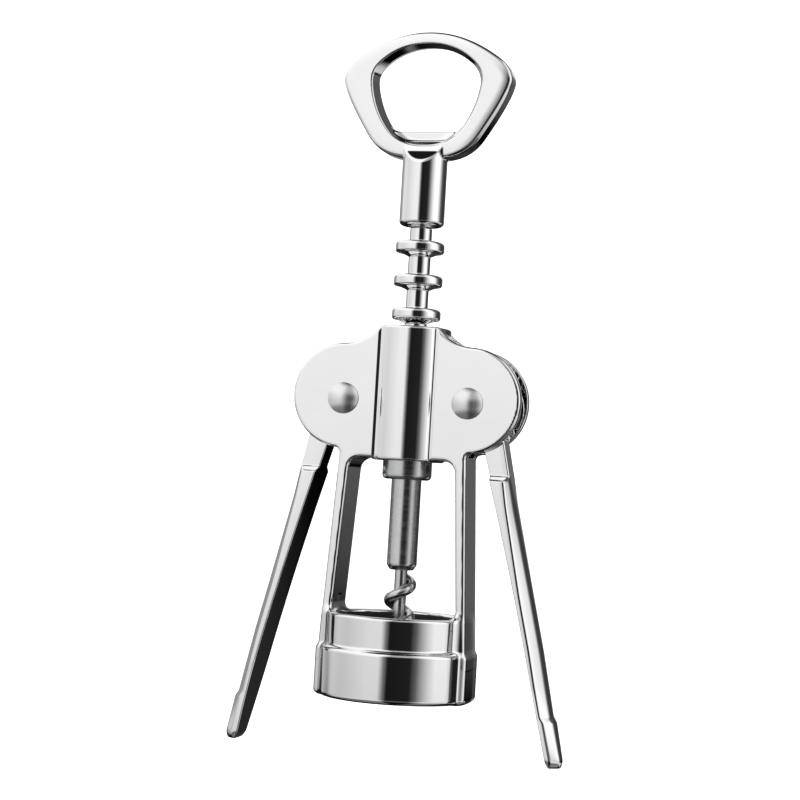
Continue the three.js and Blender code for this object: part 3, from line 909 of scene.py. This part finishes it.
# brightness round the horizon, by azimuth
AROUND = [
    (-180, 0.85), (-172, 0.4), (-145, 0.3), (-118, 0.35), (-105, 0.82), (-73, 0.74), (-50, 0.85),
    (-30, 0.95), (-11, 0.94), (-4, 0.25), (2, 0.012), (36, 0.018), (45, 0.14), (55, 0.5), (66, 0.88),
    (76, 1.15), (96, 1.15), (106, 0.74), (119, 0.14), (135, 0.04), (155, 0.05), (168, 0.12), (173, 0.2),
    (179, 0.85), (180, 0.85),
]
# the same higher up, where the front gap is partly lit
AROUND_ABOVE = [
    (-180, 0.7), (-105, 1.0), (-8, 1.05), (6, 0.4), (40, 0.45), (62, 1.05), (98, 1.0), (112, 0.10),
    (160, 0.08), (180, 0.7),
]
# how brightness changes with elevation in front of the object and behind it
HEIGHT = [
    (-90, 0.015), (-75, 0.16), (-45, 0.2), (-30, 0.03), (-14, 0.5), (-6, 0.74), (3, 0.93), (14, 1.0),
    (90, 1.0),
]
HEIGHT_BEHIND = [(-90, 0.008), (-8, 0.012), (-6.2, 0.04), (-4.6, 0.5), (-2, 0.85), (14, 1.0), (90, 1.0)]
# by elevation, where the upper light takes over, and the dark ceiling over it
ABOVE = [(-90, 0.0), (15, 0.0), (24, 1.0), (90, 1.0)]
CEILING = [(-90, 1.0), (60, 1.0), (68, 0.01), (90, 0.01)]
# by azimuth, where HEIGHT_BEHIND holds: behind on the left and behind on the right
BEHIND = [
    (-180, 0.0), (-176, 0.0), (-171, 1.0), (-115, 1.0), (-96, 0.0), (100, 0.0), (125, 1.0), (169, 1.0),
    (175, 0.0), (180, 0.0),
]
# brightness of the walls' feet, by azimuth, and the elevations where they show
LOW = [
    (-180, 0.02), (-112, 0.02), (-96, 0.5), (-60, 0.7), (-10, 0.8), (0, 0.1), (36, 0.1), (60, 0.8),
    (110, 0.7), (145, 0.55), (155, 0.02), (180, 0.02),
]
LOW_HEIGHT = [(-90, 0.0), (-36, 0.0), (-27, 0.8), (-13, 1.0), (-9.5, 0.0), (90, 0.0)]


def mixed(tree, first, second, share=1.0, blend="MIX"):
    made = node(tree, "ShaderNodeMix", data_type="RGBA", blend_type=blend)
    if isinstance(share, float):
        made.inputs["Factor"].default_value = share
    else:
        tree.links.new(share, made.inputs["Factor"])
    tree.links.new(first, made.inputs["A"])
    tree.links.new(second, made.inputs["B"])
    return made.outputs["Result"]


def studio_light():
    """The light round the object: soft white walls to the left and right, a dark gap in front and another
    behind on the right, a dim stretch behind on the left, light from above, a dark ceiling over it and a
    dark table."""
    world = bpy.data.worlds.new("studio")
    bpy.context.scene.world = world
    world.use_nodes = True
    tree = world.node_tree
    background = tree.nodes["Background"]
    coords = node(tree, "ShaderNodeTexCoord").outputs["Generated"]
    split = node(tree, "ShaderNodeSeparateXYZ")
    tree.links.new(coords, split.inputs[0])
    front = math_node(tree, "MULTIPLY", split.outputs["Y"], -1)
    azimuth = math_node(tree, "ARCTAN2", split.outputs["X"], front)
    elevation = math_node(tree, "ARCSINE", split.outputs["Z"], 0)
    height = mixed(
        tree,
        light_ramp(tree, elevation, HEIGHT, -90, 90),
        light_ramp(tree, elevation, HEIGHT_BEHIND, -90, 90),
        light_ramp(tree, azimuth, BEHIND, -180, 180),
    )
    walls = mixed(tree, light_ramp(tree, azimuth, AROUND, -180, 180), height, blend="MULTIPLY")
    over = mixed(
        tree,
        light_ramp(tree, azimuth, AROUND_ABOVE, -180, 180),
        light_ramp(tree, elevation, CEILING, -90, 90),
        blend="MULTIPLY",
    )
    feet = light_ramp(tree, azimuth, LOW, -180, 180)
    walls = mixed(tree, walls, feet, light_ramp(tree, elevation, LOW_HEIGHT, -90, 90))
    all_round = mixed(tree, walls, over, light_ramp(tree, elevation, ABOVE, -90, 90))
    tree.links.new(all_round, background.inputs["Color"])


def soft_light():
    """A wide soft lamp in front and above on the left. The metal doesn't mirror it."""
    data = bpy.data.lights.new("soft_light", "AREA")
    data.shape = "DISK"
    data.size = 0.6
    data.energy = 4.0
    obj = bpy.data.objects.new("soft_light", data)
    obj.location = (-0.4, -0.7, 0.7)
    toward = Vector((0, 0, 0.08)) - obj.location
    obj.rotation_euler = toward.to_track_quat("-Z", "Y").to_euler()
    obj.visible_glossy = False
    bpy.context.scene.collection.objects.link(obj)


# ---- the corkscrew ----------------------------------------------------------

camera()
stage()
studio_light()
soft_light()
bpy.context.scene.view_settings.view_transform = "Standard"

FINE = 0.34     # grid step of the meshes, in millimetres

casting = field_mesh("cast_frame", frame_field, (-31, -20.5, 0), (31, 20.5, PLATE_TOP), FINE)
finish_piece(casting, CHROME, "polished_chrome", "frame", "frame_casting")

for part in (lever_arm("arm"), field_mesh("hub", hub_field, (2.5, -4, 63), (31, 4, 91), FINE)):
    twin = mirror_object(part, "left_lever_" + part.name)
    part.name = "right_lever_" + part.name
    finish_piece(part, CHROME, "polished_chrome", "right_lever", "right_lever")
    finish_piece(twin, CHROME, "polished_chrome", "left_lever", "left_lever")

grip = field_mesh("handle_loop", handle_field, (-23, -6.5, 123), (23, 6.5, 175.5), FINE * 0.75)
finish_piece(grip, CHROME, "polished_chrome", "screw", "handle")

right_rivet = rivet("right_rivet")
left_rivet = mirror_object(right_rivet, "left_rivet")
finish_piece(right_rivet, RIVET, "rivet_chrome", "frame", "right_pivot_rivet")
finish_piece(left_rivet, RIVET, "rivet_chrome", "frame", "left_pivot_rivet")

finish_piece(turned("bell_ring_liner", LINER_CORNERS), NYLON, "black_nylon", "frame", "bell_liner")
finish_piece(turned("round_rack", rack_corners()), CHROME, "polished_chrome", "rack", "rack_sleeve")
finish_piece(turned("end_bush", BUSH_CORNERS), STEEL, "satin_steel", "rack", "rack_end_bush")
finish_piece(turned("worm_holder", FERRULE_CORNERS), STEEL, "satin_steel", "screw", "worm_ferrule")

core = turned("worm_core", WORM_CORE_CORNERS, closed=False, sides=40)
finish_piece(core, STEEL, "satin_steel", "screw", "worm")
finish_piece(worm_blade("worm_blade"), STEEL, "satin_steel", "screw", "worm")

finish_piece(turned("washer", WASHER_CORNERS), STEEL, "satin_steel", "screw", "thrust_washer")
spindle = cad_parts["spindle"]
spindle.data.materials.clear()
spindle.data.materials.append(STEEL)
